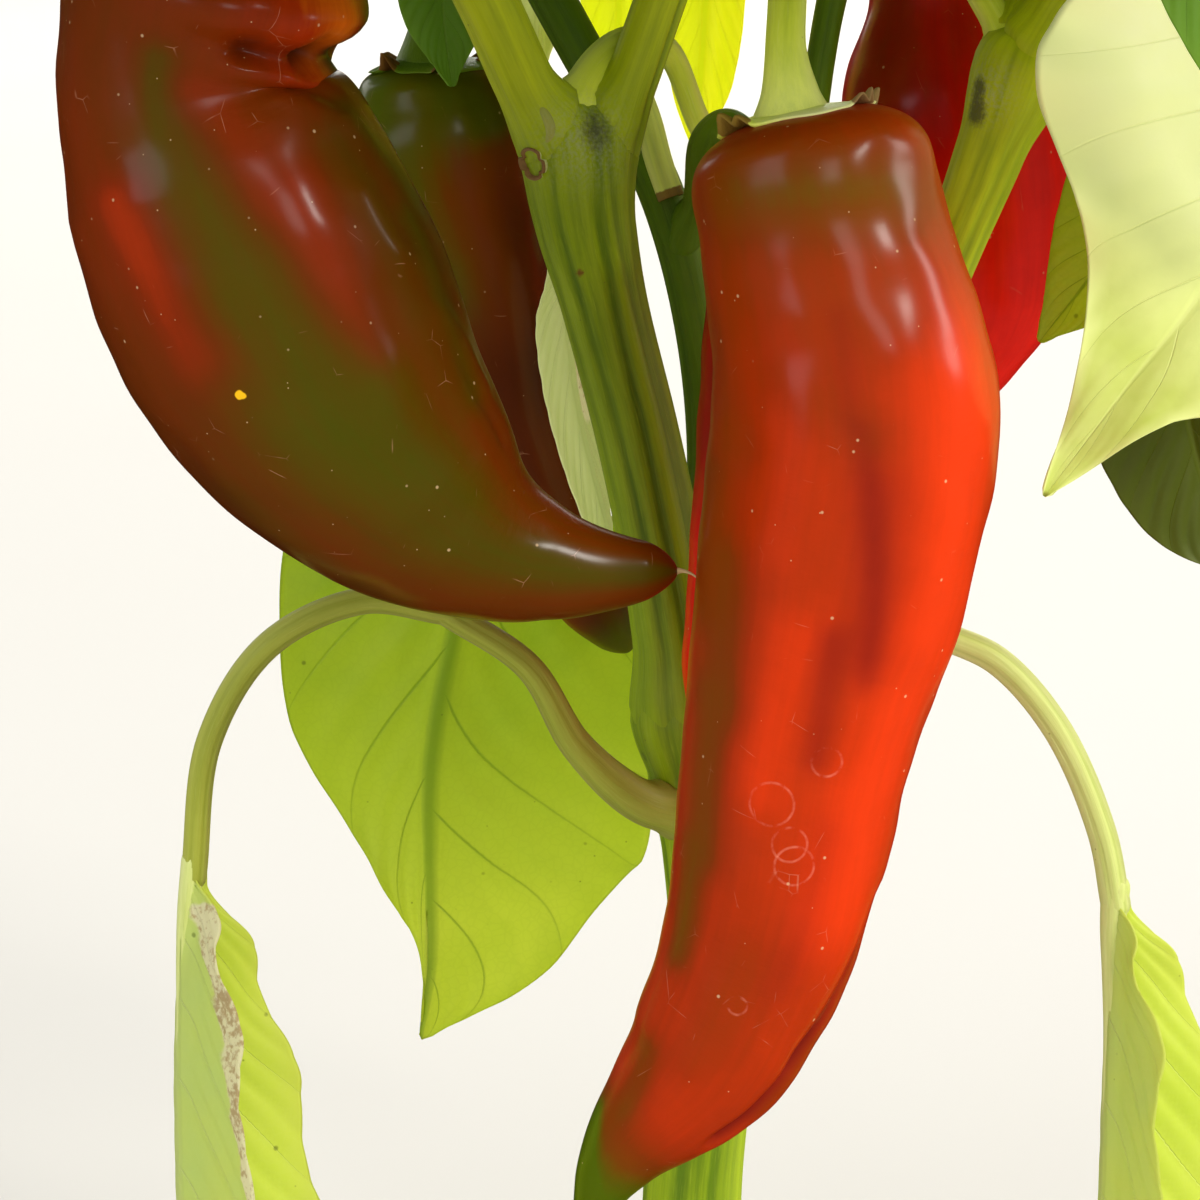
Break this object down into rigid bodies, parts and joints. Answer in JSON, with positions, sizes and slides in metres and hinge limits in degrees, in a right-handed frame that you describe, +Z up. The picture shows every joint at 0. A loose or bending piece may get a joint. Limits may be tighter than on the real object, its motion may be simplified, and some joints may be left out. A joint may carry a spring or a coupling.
{
  "type": "chilli pepper plant",
  "caption": "Rooted chilli pepper plant with a forked green stem, arching leaf stalks, broad pointed leaves, a leafy crown and large pointed fruits ripening from green through brown to red.",
  "frame": {"origin": "centre of the flat cut under the main stem, at ground level", "axes": "+Z up along the stem, +Y away from the side that the picture was taken from, +X to that view's right"},
  "size_m": [0.479, 0.3892, 0.5887],
  "materials": {
    "stem": "green ribbed skin, satin",
    "stalk": "smooth pale green skin, satin",
    "petiole": "smooth pale green skin, satin",
    "red_fruit": "ripe waxy skin, glossy",
    "turning_fruit": "half ripe waxy skin, glossy",
    "green_fruit": "unripe waxy skin, glossy",
    "leaf": "thin veined blade, soft sheen",
    "foliage": "leaf green, soft sheen"
  },
  "bodies": {
    "root": {"mass_left": "foliage", "mass_front_left": "foliage", "mass_front_right": "foliage", "mass_right": "foliage", "mass_back_right": "foliage", "mass_back_left": "foliage", "mass_top_left": "foliage", "mass_top_right": "foliage", "mass_middle": "foliage", "trunk": "stem", "limb_left": "stem", "limb_left_outer": "stem", "limb_left_inner": "stem", "limb_middle": "stem", "limb_right": "stem", "limb_back": "stem", "limb_right_outer": "stem", "limb_right_inner": "stem", "bough_left": "stem", "bough_front_left": "stem", "bough_front_right": "stem", "bough_middle": "stem", "bough_right": "stem", "bough_top_right": "stem", "bough_back_right": "stem", "bough_back_left": "stem", "bough_top_left": "stem", "fruit_front": "red_fruit", "stalk_front": "stalk", "fruit_left": "turning_fruit", "stalk_left": "stalk", "fruit_dark": "green_fruit", "stalk_dark": "stalk", "fruit_hidden": "red_fruit", "stalk_hidden": "stalk", "fruit_right": "red_fruit", "stalk_right": "stalk", "fruit_behind": "red_fruit", "stalk_behind": "stalk", "fruit_far_left": "turning_fruit", "stalk_far_left": "stalk", "fruit_far_right": "red_fruit", "stalk_far_right": "stalk", "petiole_left_rise": "petiole", "petiole_left_fall": "petiole", "petiole_right_rise": "petiole", "petiole_right_fall": "petiole", "petiole_big": "petiole", "petiole_dark": "petiole", "petiole_edge_on": "petiole", "petiole_pale": "petiole", "leaf_hanging_left": "leaf", "leaf_hanging_right": "leaf", "leaf_big": "leaf", "leaf_edge_on": "leaf", "leaf_pale": "leaf", "leaf_dark": "leaf"}
  },
  "joints": []
}
